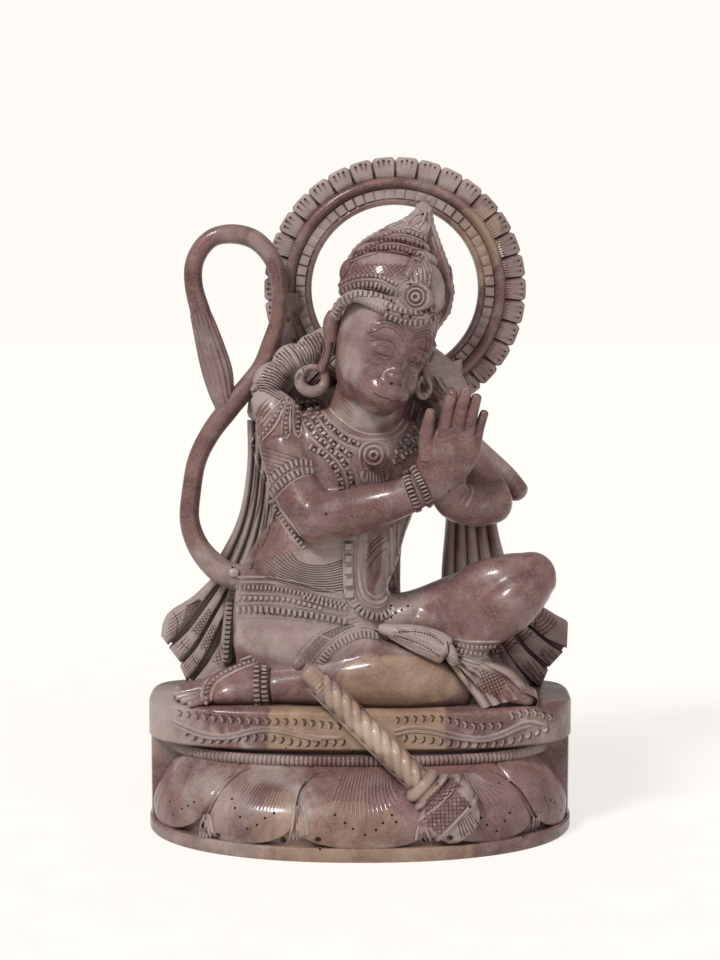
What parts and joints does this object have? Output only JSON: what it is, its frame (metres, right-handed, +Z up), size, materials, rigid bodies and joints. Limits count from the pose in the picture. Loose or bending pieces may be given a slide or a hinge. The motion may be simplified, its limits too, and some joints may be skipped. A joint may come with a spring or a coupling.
{
  "type": "hanuman figure",
  "caption": "Seated monkey deity with joined hands, pierced halo, looped tail and a mace across a lotus plinth, carved in one block of veined stone.",
  "frame": {"origin": "on the table, under the middle of the plinth's footprint box", "axes": "+Z up; the figure faces -Y; +X is to the right of someone looking at its front"},
  "size_m": [0.224, 0.118, 0.3531],
  "materials": {
    "carved_stone": "polished and matte carved, mauve-brown with ochre veins"
  },
  "bodies": {
    "root": {"hanuman_statue": "carved_stone"}
  },
  "joints": []
}
